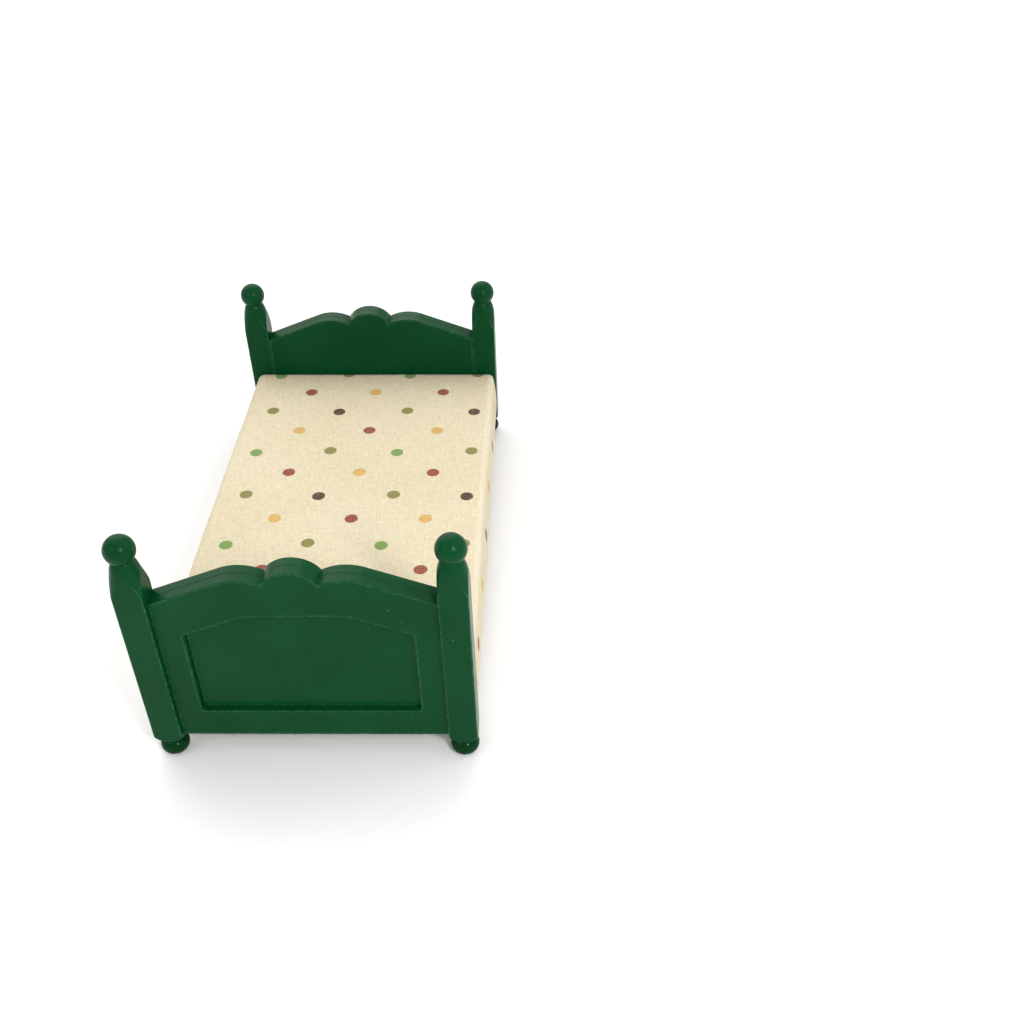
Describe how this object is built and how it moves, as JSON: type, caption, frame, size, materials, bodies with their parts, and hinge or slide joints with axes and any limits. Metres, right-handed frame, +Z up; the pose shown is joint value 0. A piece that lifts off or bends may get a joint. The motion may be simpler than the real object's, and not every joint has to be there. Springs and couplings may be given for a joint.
{
  "type": "miniature four poster bed",
  "caption": "Dolls' house single bed: turned low posts with ball finials, scalloped head and foot boards with a sunken panel, fabric-covered body.",
  "frame": {"origin": "centre of the footprint, on the surface that the feet stand on", "axes": "+Z up, +Y along the bed from the headboard to the footboard, +X across it"},
  "size_m": [0.0806, 0.1486, 0.0689],
  "materials": {
    "green_lacquer": "gloss dark green paint over smooth wood, light where the edges are rubbed",
    "dark_green_lacquer": "gloss dark green paint, a little darker than the rest",
    "spotted_cotton": "plain-woven cream cotton with printed spots in green, olive, brown, rust and ochre",
    "wadding": "matt off-white pressed wadding",
    "limewood": "bare sanded wood",
    "plywood": "bare thin plywood",
    "beech": "bare turned dowel rod",
    "lining_card": "matt grey card"
  },
  "bodies": {
    "root": {"post_head_left": "green_lacquer", "ball_head_left": "green_lacquer", "bun_foot_head_left": "dark_green_lacquer", "dowel_head_left": "beech", "post_head_right": "green_lacquer", "ball_head_right": "green_lacquer", "bun_foot_head_right": "dark_green_lacquer", "dowel_head_right": "beech", "headboard_inner_leaf": "green_lacquer", "headboard_outer_leaf": "green_lacquer", "headboard_panel": "green_lacquer", "post_foot_left": "green_lacquer", "ball_foot_left": "green_lacquer", "bun_foot_foot_left": "dark_green_lacquer", "dowel_foot_left": "beech", "post_foot_right": "green_lacquer", "ball_foot_right": "green_lacquer", "bun_foot_foot_right": "dark_green_lacquer", "dowel_foot_right": "beech", "footboard_inner_leaf": "green_lacquer", "footboard_outer_leaf": "green_lacquer", "footboard_panel": "green_lacquer", "body_side_board_left": "limewood", "body_side_board_right": "limewood", "body_end_board_head": "limewood", "body_end_board_foot": "limewood", "body_deck": "plywood", "body_cross_brace": "limewood", "top_pad": "wadding", "fabric_cover": "spotted_cotton", "bottom_lining": "lining_card"}
  },
  "joints": []
}
